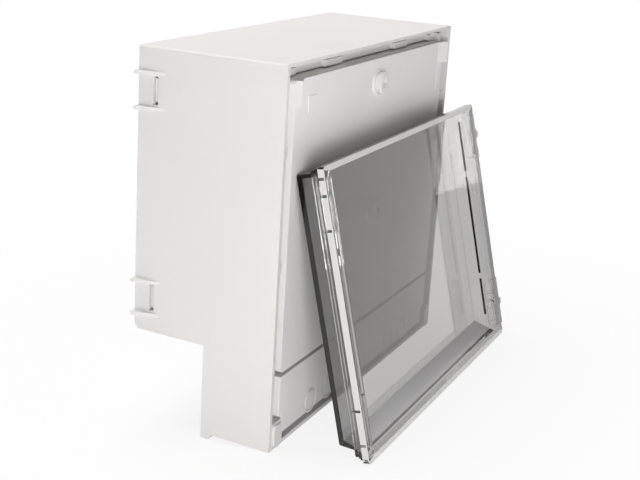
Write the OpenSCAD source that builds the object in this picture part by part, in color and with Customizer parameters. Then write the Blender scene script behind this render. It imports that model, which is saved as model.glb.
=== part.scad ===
// DIN rail enclosure with a terminal neck and a clear smoked lid.
// Every piece is drawn in the case's own frame: X centred on the width, Y backwards from the front rim,
// Z upwards from the front bottom edge. at_rail_seat() then puts the origin where the rail's face sits.

/* [Case] */
// Width of the case
case_w = 194; // [180:1:220]
// Height of the case front
case_h = 180; // [176:1:200]
// Depth of the case from the front rim to the back
case_d = 76; // [72:1:90]
// Thickness of the outer walls
wall = 2.2; // [1.8:0.1:2.4]
// Thickness of the thin rim along the top of the front
rim_top = 1.6; // [1.2:0.1:2.2]
// Radius of the corners between the sides and the top
corner_r = 1.5; // [0.5:0.5:3]

/* [Terminal neck] */
// Depth of the terminal neck
neck_d = 37; // [34:1:46]
// Height of the terminal neck, up to the underside of the deep part
neck_h = 44; // [42:1:50]
// Thickness of the floor of the neck
floor_t = 2; // [1.6:0.1:2.4]
// Height of the foot under the back of the neck
foot_h = 3; // [1:0.5:5]
// Length of the foot from front to back
foot_l = 4; // [3:0.5:8]
// Chamfer along the lower back edge of the deep part
back_chamfer = 2; // [1:0.5:2]

/* [Front] */
// Width of the channel that takes the lid's rim
channel_w = 2.6; // [2.2:0.1:3]
// Depth of that channel
channel_d = 12; // [10:0.5:16]
// Depth of the inner frame's edge behind the rim at the sides
frame_set = 4; // [2:0.5:6]
// Depth of the inner frame's edge behind the rim at the top
frame_set_top = 8; // [6:0.5:9]
// Thickness of the flange behind the channel
flange_t = 2; // [1.6:0.1:3]
// Width of the ledge that the covers rest on
ledge_w = 3; // [2.4:0.1:4]
// Distance from the case's side to the covers
cover_side = 9; // [8.5:0.1:11]
// Distance from the case's top to the faceplate
cover_top = 8; // [7.5:0.1:10]
// Gap between the covers and the inner frame
cover_gap = 0.7; // [0.4:0.1:1]
// Width of the solid corner blocks
block_w = 10.5; // [9:0.5:10.5]
// Height of the solid corner blocks
block_h = 13; // [10:0.5:16]

/* [Covers] */
// Depth of the covers' faces behind the rim
face_set = 0.5; // [0:0.1:1]
// Thickness of the covers
cover_t = 2; // [1.6:0.1:2.6]
// Thickness of the covers' skirts
skirt_t = 1.8; // [1.4:0.1:2.2]
// Height of the joint between the two covers
split_z = 35; // [32:1:38]
// Width of that joint
split_w = 2; // [1:0.1:3]
// Gap under the terminal cover
cable_gap = 2.8; // [2:0.1:4]
// Diameter of the knock-out circles
knockout_d = 10.9; // [8:0.1:12]
// Height of the knock-outs' centres above the terminal cover's lower edge
knockout_z = 5.5; // [5:0.1:7]
// Distances of the inner and outer knock-outs from the middle
knockout_x = [35.5, 55];
// Radius of the lobe round each knock-out
lobe_r = 6.9; // [6.6:0.1:8]

/* [Cover screws] */
// Diameter of the screw heads
head_d = 11.3; // [9:0.1:13]
// Height of the screw heads
head_h = 3.2; // [2.5:0.1:4]
// Size across the flats of the hexagon socket
socket_af = 4.5; // [3:0.5:5]
// Diameter of the screw shanks
shank_d = 3.9; // [3.5:0.1:4.5]
// Distance of the lower screw below the rail's middle
screw_low_drop = 18; // [16:0.5:18]
// Distance of the upper screw below the case's top
screw_top_drop = 20.2; // [18:0.1:24]

/* [Base plate] */
// Thickness of the base plate
plate_t = 2.5; // [2:0.1:3]
// Diameter of the screw pillars
pillar_d = 9.5; // [8:0.5:11]
// Diameter of the wall-fixing holes
fix_d = 4.5; // [3.5:0.1:5.5]
// Distance between the wall-fixing holes across the width
fix_dx = 168; // [150:1:168]
// Distance between the wall-fixing holes over the height
fix_dz = 76; // [66:1:80]
// Diameter of the board posts
post_d = 7; // [6:0.5:9]
// Diameter of the holes in the board posts
post_hole_d = 2.6; // [2:0.1:3.2]
// Length of the board posts
post_l = 13.5; // [8:0.5:20]
// Distance between the board posts across the width
post_dx = 148; // [140:1:150]
// Distance between the board posts over the height
post_dz = 100; // [80:1:104]

/* [Rail] */
// Width of the rail that the seat takes
rail_w = 35; // [35:1:35]
// Thickness of the rail's edges
rail_t = 1; // [1:0.1:1.5]
// Depth of the rail seat from the case's back
rail_set = 7; // [6.5:0.1:8]
// How far the hooks and catches reach over the rail's edges
rail_grip = 2.5; // [1.5:0.1:3]
// Distance of the two catches from the middle
catch_x = 50; // [40:1:56]
// Width of the catches
catch_w = 20; // [16:1:24]
// Travel of the catches
catch_travel = 5; // [4:0.5:6]

/* [Lid] */
// Height of the lid
lid_h = 136; // [125:1:140]
// Depth of the lid
lid_d = 16; // [15:0.5:18]
// Thickness of the lid's pane
pane_t = 2; // [1.5:0.1:3]
// Thickness of the lid's side walls behind the rim
lid_wall = 2; // [1.8:0.1:2.2]
// Clearance between the lid and the case's walls when it is fitted
lid_clear = 0.2; // [0.2:0.1:0.6]
// Depth of the lid's rim band
rim_band = 3.2; // [2.8:0.1:3.6]
// Depth of each of the two ribs behind the rim band
rib_step = 2.2; // [1.8:0.1:2.4]
// How far the side walls step in towards the pane
lid_in_side = 3.8; // [3:0.1:4]
// How far the top wall steps in towards the pane
lid_in_top = 3.2; // [2:0.1:4]
// How far the bottom wall steps in towards the pane
lid_in_bottom = 4; // [3:0.1:4.2]
// Angle at which the lid leans on the case
lid_tilt = 13.6; // [8:0.1:20]
// Distance of the leaning lid's middle to the right of the case's middle
lid_x = 6; // [-12:1:12]

/* [Hidden] */
$fn = 48;

cut = 1;              // how far cutting tools run past a face
fit = 0.3;            // clearance between moulded pieces that fit into each other
touch = 0.1;          // what is left between flat faces that meet

half_w = case_w/2;
inner_x = half_w - wall;
channel_x = inner_x - channel_w;
cover_x = half_w - cover_side;
frame_x = cover_x + cover_gap;
opening_x = frame_x - ledge_w;
channel_z = case_h - rim_top - channel_w;
cover_top_z = case_h - cover_top;
frame_z = cover_top_z + cover_gap;
opening_z = frame_z - ledge_w;
flange_back = channel_d + flange_t;
skirt_y = channel_d - touch;

bar_h = 10;           // height of the bar behind the joint between the covers
cover_r = 2;          // corner radius of the faceplate
notch_gap = 1.5;      // gap between a corner block and the terminal cover
pad_w = 7;            // size of the rounded pad on each corner block
pad_h = 11;
pad_r = 2;
pad_t = 1.2;
tab_z = [neck_h + 44.2, case_h - 39.3]; // heights of the tabs that bridge the side channels
tab_h = 5;
tab_set = 0.8;
hook_x = [40, 81];    // places of the hooks in the top channel
hook_w = [18, 6];
hook_rise = 1.8;

lug_z = [neck_h + 17, case_h - 20]; // heights of the snap lugs on the case's sides
lug_y = 62;           // where the lugs' ribs start, from the front rim
lug_pitch = 16.2;
lug_out = 4;
rib_t = 1.5;
window_y = case_d - 10.6;
window_l = 2.6;
window_h = 13;
tongue_w = 11;
tongue_t = 1.9;
tongue_l = 12;
barb = 1;             // how far the barbs reach into the case's windows

rail_z = (neck_h + case_h)/2;
seat_y = case_d - rail_set;
panel_y = case_d - plate_t;
panel_x = inner_x - fit;
panel_low = neck_h + wall + fit;
panel_high = case_h - wall - fit;
recess_low = rail_z - rail_w/2 - 2.5;
recess_high = rail_z + rail_w/2 + cover_gap;
recess_wall = 2.2;
rail_hook_x = [-66, 0, 66];
rail_hook_w = 16;
rail_hook_t = 2.5;

catch_front = seat_y + rail_t + fit;
catch_t = 3.7;
catch_rib_t = 1.8;
catch_lip = 2;        // how far the trough's lips reach over the catch
trough_wall = 1.8;
trough_floor = 2;
tail_l = 6;           // how far a catch stands out below the case
stop_d = 4;           // peg that stops a catch
stop_z = neck_h + 26;

pillar_y = channel_d + 1;
shank_l = 25;
ring_d = 13;
ring_t = 0.8;
screw_z = [rail_z - screw_low_drop, case_h - screw_top_drop];

wedge_w = 7.3;        // ramped block at each upper corner of the faceplate
wedge_h = 11.3;
wedge_t = 3.2;
mark_t = 0.3;         // raised lines on the faceplate
mark_w = 0.8;
mark_left = 12.4;     // from the faceplate's left edge to the corner mark
mark_right = 7.1;     // from its right edge to the two upright marks
mark_top = 8.5;       // from its top edge to the corner mark
corner_l = [9, 7.5];  // lengths of the corner mark's two lines
upright_l = [11.3, 4.8];
upright_drop = [6.2, 26.8]; // upper ends of the upright marks below the corner mark

grip_x = 39.4;        // grips along the terminal cover's upper edge
grip_w = 4;

lid_w = case_w - 2*(wall + lid_clear);
lid_rim_t = 2.7;
lid_flange = lid_in_side + lid_wall; // width of the rim's face at the sides
lid_r = 1.5;
lid_ends = [rim_band, rim_band + rib_step, rim_band + 2*rib_step, lid_d]; // where the four levels end
lid_shares = [0, 0.25, 0.5, 1];      // share of the whole step at each level
flare = 3;            // how far the bottom wall rises inside towards the pane
lean_gap = 0.3;
lid_y = -((lid_h - lid_in_top)*sin(lid_tilt) + lid_d*cos(lid_tilt) + lean_gap);
lid_low_y = lid_y + rim_band*cos(lid_tilt);
lid_z = rim_band*sin(lid_tilt) - lid_low_y*foot_h/neck_d;

notch_at = [0.012, 0.064, 0.184, 0.791, 0.905, 0.961]; // places of the rim's notches, as shares of its height
notch_h = 1.3;
notch_d = 2.2;
notch_set = 0.6;
seam_at = [0.265, 0.71]; // places of the breaks in the seam along the side walls
seam_gap = 3.4;
seam_w = 1.2;
seam_d = 0.8;
wing_out = 4.2;
wing_t = 1.6;
wing_set = 1;
wing_h = 27.6;
wing_ends = [4.8, lid_h - 31.5];
pocket_d = 1.4;       // depth of the pocket in the wall beside each wing
bump_d = 5;
bump_t = 0.9;

// ---- frames and simple shapes ----

module at_rail_seat() {
    translate([0, -seat_y, -rail_z])
        children();
}

// a box between two corners
module slab(low, high) {
    translate(low)
        cube(high - low);
}

// a side outline, drawn as (y, z), run across the width
module across(width) {
    translate([-width/2, 0, 0])
        rotate([90, 0, 90])
            linear_extrude(width)
                children();
}

// a front outline, drawn as (x, z), run backwards from y0 to y1
module backwards(y0, y1) {
    translate([0, y1, 0])
        rotate([90, 0, 0])
            linear_extrude(y1 - y0)
                children();
}

// a rectangle between two corners with round corners
module rounded(low, high, r) {
    translate([low[0] + r, low[1]])
        square([high[0] - low[0] - 2*r, high[1] - low[1]]);
    translate([low[0], low[1] + r])
        square([high[0] - low[0], high[1] - low[1] - 2*r]);
    for (x = [low[0] + r, high[0] - r], z = [low[1] + r, high[1] - r])
        translate([x, z])
            circle(r);
}

module both_sides() {
    children();
    mirror([1, 0, 0])
        children();
}

// ---- case ----

// outline of the case from the side: deep part above, terminal neck with its foot below
module case_side() {
    foot_ramp = foot_h*2/3;
    polygon([
        [0, 0],
        [neck_d - foot_l - foot_ramp, 0],
        [neck_d - foot_l, -foot_h],
        [neck_d, -foot_h],
        [neck_d, neck_h],
        [case_d - back_chamfer, neck_h],
        [case_d, neck_h + back_chamfer],
        [case_d, case_h],
        [0, case_h]
    ]);
}

module case_block() {
    intersection() {
        across(case_w)
            case_side();
        backwards(-cut, case_d + cut)
            rounded([-half_w, -foot_h], [half_w, case_h], corner_r);
    }
}

// the hollow behind the flange: one bay for the deep part and one for the neck
module case_hollow() {
    slab([-inner_x, flange_back, neck_h + wall], [inner_x, case_d + cut, case_h - wall]);
    slab([-inner_x, flange_back, floor_t], [inner_x, neck_d - wall, case_h - wall]);
}

// the front recess down to the flange, and the openings through the flange
module front_recess() {
    slab([-inner_x, -cut, floor_t], [inner_x, channel_d, case_h - rim_top]);
    slab([-opening_x, -cut, floor_t], [opening_x, flange_back + cut, split_z - bar_h/2]);
    slab([-opening_x, -cut, split_z + bar_h/2], [opening_x, flange_back + cut, opening_z]);
}

// the frame that stands on the flange, round the sides and top of the covers
module inner_frame() {
    both_sides()
        slab([frame_x, frame_set, floor_t], [channel_x, channel_d + touch, channel_z]);
    slab([-channel_x, frame_set_top, frame_z], [channel_x, channel_d + touch, channel_z]);
}

// small blocks that bridge the channel: two on each side, two pairs of hooks along the top
module channel_bridges() {
    both_sides() {
        for (z = tab_z)
            slab([channel_x - touch, tab_set, z - tab_h/2], [inner_x + touch, frame_set + 1, z + tab_h/2]);
        for (i = [0, 1])
            slab([hook_x[i] - hook_w[i]/2, frame_set_top - hook_rise, frame_z],
                 [hook_x[i] + hook_w[i]/2, frame_set_top + touch, channel_z]);
    }
}

// solid lower corners of the front, each with a rounded pad
module corner_blocks() {
    both_sides() {
        slab([half_w - block_w, 0, 0], [half_w - wall + touch, channel_d + touch, block_h]);
        backwards(-pad_t, touch)
            rounded([half_w - block_w + 0.5, 1], [half_w - block_w + 0.5 + pad_w, 1 + pad_h], pad_r);
    }
}

// a pair of tapered ribs round each snap window
module side_lugs() {
    both_sides()
        for (z = lug_z, end = [-1, 1])
            translate([0, 0, z + end*lug_pitch/2 - rib_t/2])
                linear_extrude(rib_t)
                    polygon([
                        [half_w - touch, lug_y],
                        [half_w, lug_y],
                        [half_w + lug_out, case_d - 1],
                        [half_w + lug_out, case_d],
                        [half_w - touch, case_d]
                    ]);
}

module snap_windows() {
    both_sides()
        for (z = lug_z)
            slab([inner_x - cut, window_y, z - window_h/2],
                 [half_w + cut, window_y + window_l, z + window_h/2]);
}

// slots in the underside of the deep part for the tails of the rail catches
module tail_slots() {
    for (side = [-1, 1])
        slab([side*catch_x - catch_w/2 - 2*fit, catch_front - 2*fit, neck_h - cut],
             [side*catch_x + catch_w/2 + 2*fit, case_d + cut, neck_h + wall + cut]);
}

module case_shell() {
    color("gainsboro")
        difference() {
            union() {
                difference() {
                    case_block();
                    case_hollow();
                    front_recess();
                }
                inner_frame();
                channel_bridges();
                corner_blocks();
                side_lugs();
            }
            snap_windows();
            tail_slots();
        }
}

// ---- base plate ----

// the flat back, broken by the rail recess
module back_panel() {
    slab([-panel_x, panel_y, panel_low], [panel_x, case_d, recess_low]);
    slab([-panel_x, panel_y, recess_high], [panel_x, case_d, panel_high]);
    across(2*panel_x)
        polygon([
            [seat_y - plate_t, recess_low - recess_wall],
            [case_d, recess_low - recess_wall],
            [case_d, recess_low],
            [seat_y, recess_low],
            [seat_y, recess_high],
            [case_d, recess_high],
            [case_d, recess_high + recess_wall],
            [seat_y - plate_t, recess_high + recess_wall]
        ]);
}

// fixed hooks behind the rail's upper edge
module rail_hooks() {
    hook_y = seat_y + rail_t + fit;
    for (x = rail_hook_x)
        slab([x - rail_hook_w/2, hook_y, rail_z + rail_w/2 - rail_grip],
             [x + rail_hook_w/2, hook_y + rail_hook_t, recess_high + touch]);
}

// a trough that guides one rail catch, seen from the back
module trough() {
    slab([-catch_w/2 - fit - trough_wall, catch_front - fit - trough_floor, panel_low],
         [catch_w/2 + fit + trough_wall, panel_y + touch, recess_low]);
}

module trough_hollow() {
    slab([-catch_w/2 - fit, catch_front - fit, panel_low - cut],
         [catch_w/2 + fit, catch_front + catch_t + fit, recess_low + touch]);
    slab([-catch_w/2 + catch_lip - fit, catch_front, panel_low - cut],
         [catch_w/2 - catch_lip + fit, case_d + cut, recess_low + touch]);
}

module stop_peg() {
    translate([0, catch_front - fit - touch, stop_z])
        rotate([-90, 0, 0])
            cylinder(h = catch_t + touch, d = stop_d);
}

module at_posts() {
    for (x = [-1, 1], z = [-1, 1])
        translate([x*post_dx/2, 0, rail_z + z*post_dz/2])
            children();
}

module at_fixings() {
    for (x = [-1, 1], z = [-1, 1])
        translate([x*fix_dx/2, 0, rail_z + z*fix_dz/2])
            children();
}

// a round bar along the depth, from y0 to y1
module round_bar(y0, y1, d) {
    translate([0, y0, 0])
        rotate([-90, 0, 0])
            cylinder(h = y1 - y0, d = d);
}

// snap tongues whose barbs sit in the case's side windows
module snap_tongues() {
    both_sides()
        for (z = lug_z)
            translate([0, 0, z - tongue_w/2])
                linear_extrude(tongue_w)
                    polygon([
                        [panel_x - tongue_t, panel_y + touch],
                        [panel_x - tongue_t, case_d - tongue_l],
                        [panel_x, case_d - tongue_l],
                        [panel_x, window_y],
                        [panel_x + barb, window_y + window_l - fit - 0.5],
                        [panel_x + barb, window_y + window_l - fit],
                        [panel_x, window_y + window_l - fit],
                        [panel_x, panel_y + touch]
                    ]);
}

module base_plate() {
    color("whitesmoke")
        difference() {
            union() {
                back_panel();
                rail_hooks();
                snap_tongues();
                for (side = [-1, 1])
                    translate([side*catch_x, 0, 0])
                        trough();
                at_posts()
                    round_bar(panel_y - post_l, panel_y + touch, post_d);
                at_fixings()
                    round_bar(panel_y - 2, panel_y + touch, fix_d + 5);
                for (z = screw_z)
                    translate([0, 0, z])
                        round_bar(pillar_y, (z < recess_high ? seat_y - plate_t : panel_y) + touch, pillar_d);
            }
            for (side = [-1, 1])
                translate([side*catch_x, 0, 0])
                    difference() {
                        trough_hollow();
                        stop_peg();
                    }
            at_posts()
                round_bar(panel_y - post_l - cut, panel_y - 1.5, post_hole_d);
            at_fixings()
                round_bar(panel_y - 2 - cut, case_d + cut, fix_d);
            for (z = screw_z)
                translate([0, 0, z])
                    round_bar(pillar_y - cut, pillar_y + shank_l - channel_d + 2, shank_d + touch);
        }
}

// ---- rail catch ----

// outline of a catch from the side, with the ramp that the rail pushes down
module catch_side(top) {
    polygon([
        [catch_front, neck_h - tail_l],
        [catch_front + catch_t, neck_h - tail_l],
        [catch_front + catch_t, top - 3],
        [catch_front + 0.7, top],
        [catch_front, top]
    ]);
}

module rail_catch(side) {
    nose_z = rail_z - rail_w/2 + rail_grip;
    color("silver")
        translate([side*catch_x, 0, 0])
            difference() {
                union() {
                    across(catch_w)
                        catch_side(nose_z);
                    slab([-catch_w/2 + catch_lip, catch_front + catch_t - touch, neck_h - tail_l],
                         [catch_w/2 - catch_lip, catch_front + catch_t + catch_rib_t, recess_low - catch_travel]);
                }
                backwards(catch_front - cut, case_d + cut)
                    rounded([-stop_d/2 - fit, stop_z - stop_d/2 - fit],
                            [stop_d/2 + fit, stop_z + stop_d/2 + fit + catch_travel], stop_d/2);
                slab([-catch_w/5, catch_front - cut, neck_h - tail_l + 1.5],
                     [catch_w/5, case_d + cut, neck_h - tail_l + 4]);
            }
}

module rail_catch_left() {
    rail_catch(-1);
}

module rail_catch_right() {
    rail_catch(1);
}

// ---- covers ----

module faceplate_outline(inset) {
    rounded([-cover_x + inset, split_z + split_w/2 + inset],
            [cover_x - inset, cover_top_z - inset], cover_r);
}

// ramped block at an upper corner of the faceplate, high at the outer side
module corner_wedge() {
    translate([0, 0, cover_top_z - wedge_h])
        linear_extrude(wedge_h)
            polygon([
                [cover_x, face_set + touch],
                [cover_x, face_set - wedge_t],
                [cover_x - 1, face_set - wedge_t],
                [cover_x - wedge_w, face_set],
                [cover_x - wedge_w, face_set + touch]
            ]);
}

// fine raised lines that mark out a field on the faceplate
module field_marks() {
    top = cover_top_z - mark_top;
    left = -cover_x + mark_left;
    backwards(face_set - mark_t, face_set + touch) {
        translate([left, top - mark_w])
            square([corner_l[0], mark_w]);
        translate([left, top - corner_l[1]])
            square([mark_w, corner_l[1]]);
        for (i = [0, 1])
            translate([cover_x - mark_right, top - upright_drop[i] - upright_l[i]])
                square([mark_w, upright_l[i]]);
    }
}

module faceplate() {
    color("lightgray")
        difference() {
            union() {
                difference() {
                    backwards(face_set, skirt_y)
                        faceplate_outline(0);
                    backwards(face_set + cover_t, skirt_y + cut)
                        faceplate_outline(skirt_t);
                }
                both_sides()
                    corner_wedge();
                field_marks();
                for (z = screw_z)
                    translate([0, 0, z]) {
                        round_bar(face_set - ring_t, face_set + touch, ring_d);
                        round_bar(face_set + cover_t - touch, pillar_y - touch, pillar_d);
                    }
            }
            for (z = screw_z)
                translate([0, 0, z])
                    round_bar(face_set - ring_t - cut, pillar_y + cut, shank_d + 2*fit);
        }
}

// a plastic screw with a round head and a hexagon socket
module cover_screw(z) {
    top_r = 0.8;
    head_y = face_set - ring_t;
    color("white")
        translate([0, head_y, z])
            rotate([90, 0, 0])
                difference() {
                    union() {
                        rotate_extrude($fn = 64)
                            union() {
                                square([head_d/2 - top_r, head_h]);
                                square([head_d/2, head_h - top_r]);
                                translate([head_d/2 - top_r, head_h - top_r])
                                    circle(top_r);
                            }
                        translate([0, 0, -shank_l])
                            cylinder(h = shank_l + touch, d = shank_d);
                    }
                    translate([0, 0, head_h - 2.6])
                        cylinder(h = head_h, d = socket_af/cos(30), $fn = 6);
                }
}

module faceplate_screw_low() {
    cover_screw(screw_z[0]);
}

module faceplate_screw_top() {
    cover_screw(screw_z[1]);
}

// the terminal cover's outline, with notches round the corner blocks and a lobe round each knock-out
module terminal_outline(inset) {
    low = floor_t + cable_gap;
    notch_x = half_w - block_w - notch_gap;
    difference() {
        union() {
            translate([-cover_x + inset, low + inset])
                square([2*(cover_x - inset), split_z - split_w/2 - low - 2*inset]);
            both_sides()
                for (x = knockout_x)
                    translate([x, low + knockout_z])
                        circle(lobe_r - inset);
        }
        both_sides()
            translate([notch_x - inset, 0])
                square([block_w + cut, block_h + notch_gap + inset]);
    }
}

module knockout_grooves() {
    groove_w = 0.8;
    groove_d = 0.8;
    both_sides()
        for (x = knockout_x)
            translate([x, 0, floor_t + cable_gap + knockout_z])
                difference() {
                    round_bar(face_set - cut, face_set + groove_d, knockout_d + groove_w);
                    round_bar(face_set - 2*cut, face_set + groove_d + cut, knockout_d - groove_w);
                }
}

module terminal_cover() {
    color("lightgray")
        difference() {
            union() {
                difference() {
                    backwards(face_set, skirt_y - touch)
                        terminal_outline(0);
                    backwards(face_set + cover_t, skirt_y + cut)
                        terminal_outline(skirt_t);
                }
                both_sides()
                    slab([grip_x - grip_w/2, face_set, split_z - split_w/2 - touch],
                         [grip_x + grip_w/2, face_set + cover_t, split_z + split_w/2 - fit]);
            }
            knockout_grooves();
        }
}

// ---- lid ----

// the lid's outline at one of its levels: 0 at the rim, then two ribs, 3 at the pane
module lid_level(level) {
    share = lid_shares[level];
    backwards(level == 0 ? 0 : touch, lid_ends[level])
        rounded([-lid_w/2 + lid_in_side*share, lid_in_bottom*share],
                [lid_w/2 - lid_in_side*share, lid_h - lid_in_top*share], lid_r);
}

// the inside of the tray, with a bottom that rises towards the pane
module lid_hollow() {
    pane_y = lid_d - pane_t;
    across(lid_w - 2*lid_flange)
        polygon([
            [-cut, lid_rim_t],
            [rim_band, lid_rim_t],
            [rim_band + rib_step, lid_in_bottom],
            [pane_y, lid_in_bottom + lid_wall + flare],
            [pane_y, lid_h - lid_in_top - lid_wall],
            [lid_ends[2], lid_h - lid_in_top - lid_wall],
            [rim_band, lid_h - lid_rim_t - 1],
            [rim_band, lid_h - lid_rim_t],
            [-cut, lid_h - lid_rim_t]
        ]);
}

// notches across the rim band and the ribs at the sides
module rim_notches() {
    both_sides()
        for (share = notch_at)
            slab([lid_w/2 - notch_d, notch_set, lid_h*share - notch_h/2],
                 [lid_w/2 + cut, lid_ends[2] + touch, lid_h*share + notch_h/2]);
}

// a narrow seam inside each side wall, broken in two places
module wall_seams() {
    seam_y = lid_ends[2] - seam_w;
    seam_z = [lid_in_bottom + lid_wall + flare + 2, lid_h*seam_at[0], lid_h*seam_at[1],
              lid_h - lid_in_top - lid_wall - 2];
    both_sides()
        for (i = [0:2])
            slab([lid_w/2 - lid_flange - touch, seam_y, seam_z[i] + seam_gap/2],
                 [lid_w/2 - lid_flange + seam_d, seam_y + seam_w, seam_z[i + 1] - seam_gap/2]);
}

// shallow pockets inside the side walls, level with the wings
module wing_pockets() {
    both_sides()
        for (z = wing_ends)
            slab([lid_w/2 - lid_flange - touch, notch_set + touch, z + rib_t],
                 [lid_w/2 - lid_flange + pocket_d, rim_band + rib_step, z + wing_h - rib_t]);
}

// thin wings on one side of the lid, each with a round bump inside the wall and one on the wing
module lid_wings() {
    bump_y = (rim_band + rib_step + notch_set)/2;
    for (z = wing_ends) {
        slab([lid_w/2 - notch_d - touch, wing_set, z], [lid_w/2 + wing_out, wing_set + wing_t, z + wing_h]);
        translate([lid_w/2 - lid_flange, bump_y, z + wing_h/2])
            rotate([0, 90, 0])
                cylinder(h = pocket_d + touch, d = bump_d);
        translate([lid_w/2 + wing_out/2, wing_set - bump_t, z + wing_h/2])
            rotate([-90, 0, 0])
                cylinder(h = bump_t + touch, d = wing_out);
    }
}

module smoked_lid() {
    color([0.45, 0.45, 0.47, 0.5])
        translate([lid_x, lid_y, lid_z])
            rotate([-lid_tilt, 0, 0]) {
                difference() {
                    for (level = [0:3])
                        lid_level(level);
                    lid_hollow();
                    rim_notches();
                    wall_seams();
                    wing_pockets();
                }
                lid_wings();
            }
}

at_rail_seat() case_shell();
at_rail_seat() base_plate();
at_rail_seat() rail_catch_left();
at_rail_seat() rail_catch_right();
at_rail_seat() faceplate();
at_rail_seat() faceplate_screw_top();
at_rail_seat() faceplate_screw_low();
at_rail_seat() terminal_cover();
at_rail_seat() smoked_lid();
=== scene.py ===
import math

import bpy
from mathutils import Matrix, Vector


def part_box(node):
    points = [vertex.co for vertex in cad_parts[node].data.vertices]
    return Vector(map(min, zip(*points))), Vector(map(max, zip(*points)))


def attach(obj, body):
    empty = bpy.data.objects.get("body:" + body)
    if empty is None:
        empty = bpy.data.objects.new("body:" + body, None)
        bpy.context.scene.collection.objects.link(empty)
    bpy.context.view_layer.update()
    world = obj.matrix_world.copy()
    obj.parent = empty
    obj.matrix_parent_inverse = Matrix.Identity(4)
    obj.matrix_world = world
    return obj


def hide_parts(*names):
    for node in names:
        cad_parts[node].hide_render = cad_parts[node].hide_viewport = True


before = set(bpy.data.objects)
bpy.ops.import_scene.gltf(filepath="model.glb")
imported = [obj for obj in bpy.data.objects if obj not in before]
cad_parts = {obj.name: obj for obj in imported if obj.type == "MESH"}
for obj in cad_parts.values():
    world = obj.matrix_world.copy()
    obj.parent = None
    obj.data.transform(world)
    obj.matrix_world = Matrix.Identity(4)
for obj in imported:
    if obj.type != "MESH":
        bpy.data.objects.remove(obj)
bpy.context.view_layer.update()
bpy.context.scene.view_settings.view_transform = "Standard"


# ---- The table, the light and the camera ----
# The enclosure stands on its front lower edge and on the foot at the back of the terminal neck,
# so the table is a little out of square with the case. It is a plain white sheet under soft
# studio light, with a white wall on one side and a dark room on the other to be reflected.

case_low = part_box("case_shell")[0]
foot_drop = 0.003
neck_depth = 0.037
front_y = -0.069
front_z = case_low.z + foot_drop
table_slope = math.atan(foot_drop / neck_depth)
table_size = 6
table_gap = 0.0002

sheet_white = 0.93
shadow_reach = 0.15
white_from = 0.45
shadow_glow = 0.85


def straight_rays(tree, kinds):
    """A mask that is 1 for rays of these kinds that no matt surface has scattered yet."""
    rays = tree.nodes.new("ShaderNodeLightPath")
    wanted = rays.outputs[kinds[0]]
    for kind in kinds[1:]:
        either = tree.nodes.new("ShaderNodeMath")
        either.operation = "MAXIMUM"
        tree.links.new(wanted, either.inputs[0])
        tree.links.new(rays.outputs[kind], either.inputs[1])
        wanted = either.outputs[0]
    unscattered = tree.nodes.new("ShaderNodeMath")
    unscattered.operation = "LESS_THAN"
    unscattered.inputs[1].default_value = 0.5
    tree.links.new(rays.outputs["Diffuse Depth"], unscattered.inputs[0])
    straight = tree.nodes.new("ShaderNodeMath")
    straight.operation = "MULTIPLY"
    tree.links.new(wanted, straight.inputs[0])
    tree.links.new(unscattered.outputs[0], straight.inputs[1])
    return straight.outputs[0]


def shader_mix(tree, share, first, second):
    """The first shader where the share is 0 and the second where it is 1."""
    mix = tree.nodes.new("ShaderNodeMixShader")
    tree.links.new(share, mix.inputs["Fac"])
    tree.links.new(first.outputs[0], mix.inputs[1])
    tree.links.new(second.outputs[0], mix.inputs[2])
    return mix


def white_sheet_material():
    """White paper that keeps the soft shadow near the part and fades to plain white further out."""
    material = bpy.data.materials.new("white_sheet")
    material.use_nodes = True
    tree = material.node_tree
    tree.nodes.clear()
    paper = tree.nodes.new("ShaderNodeBsdfDiffuse")
    paper.inputs["Color"].default_value = (sheet_white, sheet_white, sheet_white, 1)
    glow = tree.nodes.new("ShaderNodeEmission")
    glow.inputs["Color"].default_value = (1, 1, 1, 1)
    glow.inputs["Strength"].default_value = 1.0
    place = tree.nodes.new("ShaderNodeTexCoord")
    radius = tree.nodes.new("ShaderNodeVectorMath")
    radius.operation = "LENGTH"
    tree.links.new(place.outputs["Object"], radius.inputs[0])
    fade = tree.nodes.new("ShaderNodeMapRange")
    fade.inputs["From Min"].default_value = shadow_reach
    fade.inputs["From Max"].default_value = white_from
    fade.inputs["To Min"].default_value = shadow_glow
    fade.inputs["To Max"].default_value = 1.0
    tree.links.new(radius.outputs["Value"], fade.inputs["Value"])
    seen = straight_rays(tree, ("Is Camera Ray", "Is Transmission Ray", "Is Glossy Ray"))
    share = tree.nodes.new("ShaderNodeMath")
    share.operation = "MULTIPLY"
    tree.links.new(seen, share.inputs[0])
    tree.links.new(fade.outputs["Result"], share.inputs[1])
    sheet = shader_mix(tree, share.outputs[0], paper, glow)
    output = tree.nodes.new("ShaderNodeOutputMaterial")
    tree.links.new(sheet.outputs[0], output.inputs["Surface"])
    return material


bpy.ops.object.select_all(action="DESELECT")
bpy.ops.mesh.primitive_grid_add(x_subdivisions=8, y_subdivisions=8, size=table_size)
table = bpy.context.object
table.name = "table_sheet"
bpy.ops.object.mode_set(mode="EDIT")
bpy.ops.mesh.select_all(action="SELECT")
bpy.ops.transform.rotate(value=table_slope, orient_axis="X", center_override=(0, 0, 0))
bpy.ops.transform.translate(value=(0, front_y, front_z - table_gap))
bpy.ops.object.mode_set(mode="OBJECT")
table.data.materials.append(white_sheet_material())

# the white wall stands to the right of the part and behind it, and fades out over a narrow band
wall_direction = (0.89, 0.45, 0.0)
wall_edge_dark = 0.45
wall_edge_white = 0.62

world = bpy.data.worlds.new("studio")
bpy.context.scene.world = world
world.use_nodes = True
studio = world.node_tree
studio.nodes.clear()


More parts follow.
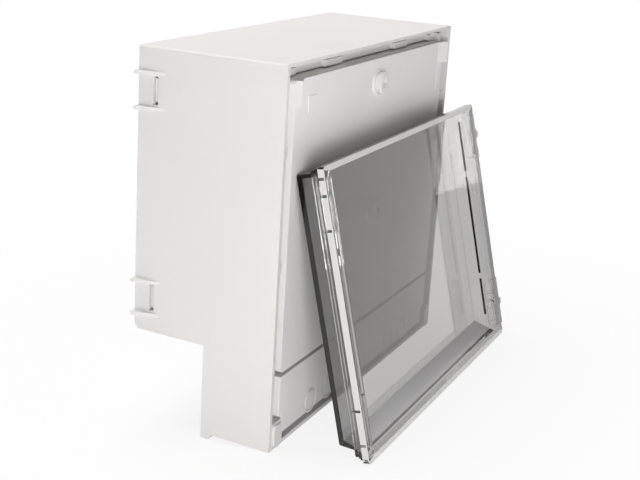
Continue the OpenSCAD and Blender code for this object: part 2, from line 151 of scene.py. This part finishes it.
def room_light(brightness, strength):
    """A plain room of one brightness around the part."""
    room = studio.nodes.new("ShaderNodeBackground")
    room.inputs["Color"].default_value = (brightness, brightness, brightness, 1)
    room.inputs["Strength"].default_value = strength
    return room


soft_room = room_light(1.0, strength=0.22)
white_room = room_light(1.0, strength=1.0)
dark_room = room_light(0.05, strength=1.0)
sky_place = studio.nodes.new("ShaderNodeTexCoord")
wall_side = studio.nodes.new("ShaderNodeVectorMath")
wall_side.operation = "DOT_PRODUCT"
wall_side.inputs[1].default_value = wall_direction
studio.links.new(sky_place.outputs["Generated"], wall_side.inputs[0])
wall_edge = studio.nodes.new("ShaderNodeMapRange")
wall_edge.inputs["From Min"].default_value = wall_edge_dark
wall_edge.inputs["From Max"].default_value = wall_edge_white
studio.links.new(wall_side.outputs["Value"], wall_edge.inputs["Value"])
room_in_plastic = shader_mix(studio, wall_edge.outputs["Result"], dark_room, white_room)
in_plastic = straight_rays(studio, ("Is Glossy Ray", "Is Transmission Ray"))
room_on_part = shader_mix(studio, in_plastic, soft_room, room_in_plastic)
studio_rays = studio.nodes.new("ShaderNodeLightPath")
whole_room = shader_mix(studio, studio_rays.outputs["Is Camera Ray"], room_on_part, white_room)
studio_output = studio.nodes.new("ShaderNodeOutputWorld")
studio.links.new(whole_room.outputs[0], studio_output.inputs["Surface"])


def soft_box(name, place, target, width, height, power):
    """A rectangular studio lamp that faces its target."""
    data = bpy.data.lights.new(name, "AREA")
    data.shape = "RECTANGLE"
    data.size = width
    data.size_y = height
    data.energy = power
    lamp = bpy.data.objects.new(name, data)
    bpy.context.scene.collection.objects.link(lamp)
    lamp.location = place
    lamp.rotation_mode = "QUATERNION"
    lamp.rotation_quaternion = (Vector(target) - Vector(place)).to_track_quat("-Z", "Y")


soft_box("top_soft_box", (0.0, 0.3, 1.2), (0, 0, 0), width=0.9, height=0.9, power=13.5)
soft_box(
    "side_soft_box", (-0.58, -0.43, -0.04), (0, -0.03, -0.02), width=0.32, height=0.28, power=3.75
)

# the camera stands to the left of the front, a little above it, and leans by three degrees
camera_place = (-0.5184, -0.2923, 0.1434)
camera_look = Vector((0.8626, 0.4387, -0.2520)).normalized()
camera_right = Vector((0.4651, -0.8836, 0.0538))
camera_right = (camera_right - camera_look * camera_right.dot(camera_look)).normalized()
camera_up = camera_right.cross(camera_look)
camera_data = bpy.data.cameras.new("camera")
camera_data.sensor_width = 36
camera_data.lens = 64.41
camera_data.shift_x = 0.0295
camera_data.shift_y = -0.0969
camera = bpy.data.objects.new("camera", camera_data)
bpy.context.scene.collection.objects.link(camera)
camera.matrix_world = Matrix((camera_right, camera_up, -camera_look)).transposed().to_4x4()
camera.location = camera_place
bpy.context.scene.camera = camera


# ---- The case ----
# One light grey moulding in a fine-grained plastic. Its outer edges are slightly rounded where
# the mould closes, and its walls show a faint cloudiness from the flow of the plastic.

weld = 0.00001
same_plane = math.radians(0.5)
sharp_edge = math.radians(35)
soft_edge = math.radians(3)
edge_steps = 3
moulded_edge = 0.0003

pit_share = 0.35
cloud_from = 0.3
cloud_to = 0.7
glossier = 0.05
rougher = 0.07


def moulded_copy(node, name, edge, flat=True, edge_slot=-1):
    """A copy of a CAD node as one closed mesh with rounded edges.

    Flat merges the faces that lie in one plane. The edges take the material of the face beside
    them, or the one in edge_slot.
    """
    bpy.ops.object.select_all(action="DESELECT")
    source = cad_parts[node]
    piece = bpy.data.objects.new(name, source.data.copy())
    bpy.context.scene.collection.objects.link(piece)
    piece.data.materials.clear()
    piece.select_set(True)
    bpy.context.view_layer.objects.active = piece
    bpy.ops.object.mode_set(mode="EDIT")
    bpy.ops.mesh.select_all(action="SELECT")
    bpy.ops.mesh.remove_doubles(threshold=weld)
    bpy.ops.mesh.dissolve_degenerate(threshold=weld)
    if flat:
        bpy.ops.mesh.dissolve_limited(angle_limit=same_plane)
    bpy.ops.object.mode_set(mode="OBJECT")
    rounding = piece.modifiers.new("rounding", "BEVEL")
    rounding.width = edge
    rounding.segments = edge_steps
    rounding.limit_method = "ANGLE"
    rounding.angle_limit = sharp_edge
    rounding.use_clamp_overlap = True
    rounding.miter_outer = "MITER_ARC"
    rounding.material = edge_slot
    bpy.ops.object.modifier_apply(modifier="rounding")
    bpy.ops.object.shade_smooth_by_angle(angle=soft_edge)
    return piece


def moulding_grain_group():
    """Fine spark grain and faint flow clouds, shared by all of the moulded plastics."""
    group = bpy.data.node_groups.new("moulding_grain", "ShaderNodeTree")
    for scale in ("Grain Scale", "Cloud Scale"):
        group.interface.new_socket(scale, in_out="INPUT", socket_type="NodeSocketFloat")
    for result in ("Clouds", "Grain"):
        group.interface.new_socket(result, in_out="OUTPUT", socket_type="NodeSocketFloat")
    nodes = group.nodes
    links = group.links
    inputs = nodes.new("NodeGroupInput")
    outputs = nodes.new("NodeGroupOutput")
    place = nodes.new("ShaderNodeTexCoord")
    clouds = nodes.new("ShaderNodeTexNoise")
    clouds.inputs["Detail"].default_value = 4
    clouds.inputs["Roughness"].default_value = 0.55
    grain = nodes.new("ShaderNodeTexNoise")
    grain.inputs["Detail"].default_value = 3
    grain.inputs["Roughness"].default_value = 0.6
    pits = nodes.new("ShaderNodeTexVoronoi")
    blend = nodes.new("ShaderNodeMix")
    blend.inputs["Factor"].default_value = pit_share
    for pattern, scale in ((clouds, "Cloud Scale"), (grain, "Grain Scale"), (pits, "Grain Scale")):
        links.new(place.outputs["Object"], pattern.inputs["Vector"])
        links.new(inputs.outputs[scale], pattern.inputs["Scale"])
    links.new(grain.outputs["Fac"], blend.inputs["A"])
    links.new(pits.outputs["Distance"], blend.inputs["B"])
    links.new(clouds.outputs["Fac"], outputs.inputs["Clouds"])
    links.new(blend.outputs["Result"], outputs.inputs["Grain"])
    return group


grain_group = moulding_grain_group()


def moulded_plastic(name, light, dark, roughness, grain_depth):
    """A moulded plastic between two close shades, with a fine grain in its gloss and surface."""
    material = bpy.data.materials.new(name)
    material.use_nodes = True
    nodes = material.node_tree.nodes
    links = material.node_tree.links
    surface = nodes["Principled BSDF"]
    surface.inputs["IOR"].default_value = 1.52
    surface.inputs["Specular IOR Level"].default_value = 0.45
    grain = nodes.new("ShaderNodeGroup")
    grain.node_tree = grain_group
    grain.inputs["Grain Scale"].default_value = 2600
    grain.inputs["Cloud Scale"].default_value = 14
    shade = nodes.new("ShaderNodeValToRGB")
    darkest, lightest = shade.color_ramp.elements
    darkest.position = cloud_from
    darkest.color = (*dark, 1)
    lightest.position = cloud_to
    lightest.color = (*light, 1)
    links.new(grain.outputs["Clouds"], shade.inputs["Fac"])
    links.new(shade.outputs["Color"], surface.inputs["Base Color"])
    gloss = nodes.new("ShaderNodeMapRange")
    gloss.inputs["To Min"].default_value = roughness - glossier
    gloss.inputs["To Max"].default_value = roughness + rougher
    links.new(grain.outputs["Grain"], gloss.inputs["Value"])
    links.new(gloss.outputs["Result"], surface.inputs["Roughness"])
    bump = nodes.new("ShaderNodeBump")
    bump.inputs["Strength"].default_value = 0.25
    bump.inputs["Distance"].default_value = grain_depth
    links.new(grain.outputs["Grain"], bump.inputs["Height"])
    links.new(bump.outputs["Normal"], surface.inputs["Normal"])
    return material


case_plastic = moulded_plastic(
    "case_plastic",
    light=(0.785, 0.77, 0.745),
    dark=(0.76, 0.745, 0.72),
    roughness=0.42,
    grain_depth=0.00004,
)
case = moulded_copy("case_shell", "case_moulding", moulded_edge)
case.data.materials.append(case_plastic)
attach(case, "case")
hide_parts("case_shell")


# ---- The base plate and the rail catches ----
# The base plate is moulded in the same plastic as the case and snaps into its side windows. The
# two catches are harder, darker mouldings that slide in troughs in its back.

base = moulded_copy("base_plate", "base_moulding", moulded_edge)
base.data.materials.append(case_plastic)
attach(base, "case")
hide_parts("base_plate")

catch_plastic = moulded_plastic(
    "catch_plastic",
    light=(0.30, 0.31, 0.32),
    dark=(0.27, 0.28, 0.29),
    roughness=0.38,
    grain_depth=0.00003,
)
for side in ("left", "right"):
    catch = moulded_copy("rail_catch_" + side, "rail_catch_moulding_" + side, moulded_edge)
    catch.data.materials.append(catch_plastic)
    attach(catch, "catch_" + side)
    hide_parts("rail_catch_" + side)


# ---- The covers ----
# The faceplate and the terminal cover are flat mouldings with a skirt all round. Their colour is
# lifted a shade above the case's as painted light, which brightens the front faces lying in shade,
# and their faces are a little smoother.

cover_plastic = moulded_plastic(
    "cover_plastic",
    light=(0.87, 0.862, 0.85),
    dark=(0.845, 0.837, 0.825),
    roughness=0.40,
    grain_depth=0.00003,
)
faceplate = moulded_copy("faceplate", "faceplate_moulding", moulded_edge)
faceplate.data.materials.append(cover_plastic)
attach(faceplate, "case")
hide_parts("faceplate")

terminal_cover = moulded_copy("terminal_cover", "terminal_cover_moulding", moulded_edge)
terminal_cover.data.materials.append(cover_plastic)
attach(terminal_cover, "lower_cover")
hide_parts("terminal_cover")


# ---- The cover screws ----
# Two plastic screws with round heads and a hexagon socket hold the faceplate to the pillars of
# the base plate. They are moulded in a smoother, glossier plastic.

screw_edge = 0.0002
screw_plastic = moulded_plastic(
    "screw_plastic",
    light=(0.80, 0.79, 0.775),
    dark=(0.78, 0.77, 0.755),
    roughness=0.32,
    grain_depth=0.00002,
)
for place in ("top", "low"):
    screw = moulded_copy("faceplate_screw_" + place, "cover_screw_" + place, screw_edge)
    screw.data.materials.append(screw_plastic)
    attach(screw, "case")
    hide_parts("faceplate_screw_" + place)


# ---- The lid ----
# A clear tray in smoked polycarbonate, polished in the mould and leaning on the case. Its rounded
# edges and seams are painted dark, as painted shade for the dark lines that bent light makes there.
# The rim is painted pale and half matt as a painted highlight; the bottom wall's upward inner faces
# are paler and half matt.

lid_tilt = math.radians(13.6)
lid_height = 0.136
lid_width = 0.1892
lid_back = 0.016
rim_band = 0.0032
rim_face = 0.0027
flange = 0.0058
rib_end = 0.0054
low_wall = 0.004
low_corner = 0.0015
low_rise = 0.0024
seam_start = 0.0064
seam_end = 0.0076
seam_depth = 0.0008
lid_edge = 0.00025
touch = 0.0001
facing_up = 0.5


def smoked_clear_material(name, tint_color, clearness, low_gloss, high_gloss):
    """The smoked plastic, at one surface tint, clearness and range of roughness."""
    material = bpy.data.materials.new(name)
    material.use_nodes = True
    nodes = material.node_tree.nodes
    links = material.node_tree.links
    surface = nodes["Principled BSDF"]
    surface.inputs["Base Color"].default_value = (*tint_color, 1)
    surface.inputs["IOR"].default_value = 1.58
    surface.inputs["Transmission Weight"].default_value = clearness
    grain = nodes.new("ShaderNodeGroup")
    grain.node_tree = grain_group
    grain.inputs["Grain Scale"].default_value = 220
    grain.inputs["Cloud Scale"].default_value = 30
    gloss = nodes.new("ShaderNodeMapRange")
    gloss.inputs["To Min"].default_value = low_gloss
    gloss.inputs["To Max"].default_value = high_gloss
    links.new(grain.outputs["Clouds"], gloss.inputs["Value"])
    links.new(gloss.outputs["Result"], surface.inputs["Roughness"])
    tint = nodes.new("ShaderNodeVolumeAbsorption")
    tint.inputs["Color"].default_value = (0.30, 0.30, 0.31, 1)
    tint.inputs["Density"].default_value = 60
    links.new(tint.outputs["Volume"], nodes["Material Output"].inputs["Volume"])
    return material


# each finish: its name, surface tint, clearness, and roughness from and to; the edge finish is
# painted shade and the rim finish a painted highlight
lid_finishes = (
    ("smoked_clear", (0.55, 0.53, 0.523), 1.0, 0.0, 0.02),
    ("smoked_edge_painted_shade", (0.10, 0.098, 0.097), 1.0, 0.02, 0.06),
    ("smoked_rim_painted_highlight", (0.95, 0.94, 0.93), 0.30, 0.15, 0.25),
    ("smoked_low_wall", (0.80, 0.785, 0.79), 0.40, 0.2, 0.3),
    ("smoked_end_face", (0.42, 0.41, 0.40), 0.7, 0.05, 0.12),
)
clear_slot, edge_slot, rim_slot, low_wall_slot, end_face_slot = range(len(lid_finishes))

# the rounded edges take the dark edge finish, painted shade for the dark lines along them
lid = moulded_copy("smoked_lid", "smoked_lid_moulding", lid_edge, flat=False, edge_slot=edge_slot)
for finish in lid_finishes:
    lid.data.materials.append(smoked_clear_material(*finish))

lid_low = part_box("smoked_lid")[0]
lid_foot = Vector((0, lid_low.y, lid_low.z + rim_band * math.sin(lid_tilt)))
lid_depth_way = Vector((0, math.cos(lid_tilt), -math.sin(lid_tilt)))
lid_height_way = Vector((0, math.sin(lid_tilt), math.cos(lid_tilt)))


def place_in_lid(point):
    """How far a point is behind the rim's front face, and above the lid's lower edge."""
    from_foot = point - lid_foot
    return from_foot.dot(lid_depth_way), from_foot.dot(lid_height_way)


# the outer low back edge is raised, so that the bottom wall is as thick at the pane as at the ribs
back_edge_from = lid_back - 4 * touch
low_edge_to = low_wall + low_corner + 2 * touch
bpy.ops.object.mode_set(mode="EDIT")
bpy.ops.mesh.select_mode(type="VERT")
bpy.ops.mesh.select_all(action="DESELECT")
bpy.ops.object.mode_set(mode="OBJECT")
for vertex in lid.data.vertices:
    depth, height = place_in_lid(vertex.co)
    vertex.select = depth > back_edge_from and height < low_edge_to
bpy.ops.object.mode_set(mode="EDIT")
bpy.ops.transform.translate(value=lid_height_way * low_rise)
bpy.ops.object.mode_set(mode="OBJECT")

# the rim takes the painted highlight, the seams the painted shade of the edges, and the bottom
# wall and the end faces of the flanges take their own tints
low_wall_to = 3 * low_wall
rim_left = min(vertex.co.x for vertex in lid.data.vertices)
rim_right = rim_left + lid_width
for face in lid.data.polygons:
    depth, height = place_in_lid(face.center)
    across = rim_right - face.center.x
    on_front = depth < touch and (height < rim_face or height > lid_height - rim_face)
    on_side = (
        depth < rim_band
        and face.center.x < rim_left + touch
        and face.material_index == clear_slot
    )
    inside_low = (
        face.normal.dot(lid_height_way) > facing_up
        and rib_end < depth < lid_back - touch
        and height < low_wall_to
    )
    in_seam = (
        seam_start - touch < depth < seam_end + touch
        and flange - seam_depth - touch < across < flange - touch
    )
    on_end = depth < touch and across < flange
    # the rim faces get the painted highlight and the seam faces the painted shade
    if on_front or on_side:
        face.material_index = rim_slot
    elif inside_low:
        face.material_index = low_wall_slot
    elif in_seam:
        face.material_index = edge_slot
    elif on_end:
        face.material_index = end_face_slot
bpy.ops.object.shade_flat()

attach(lid, "case")
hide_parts("smoked_lid")
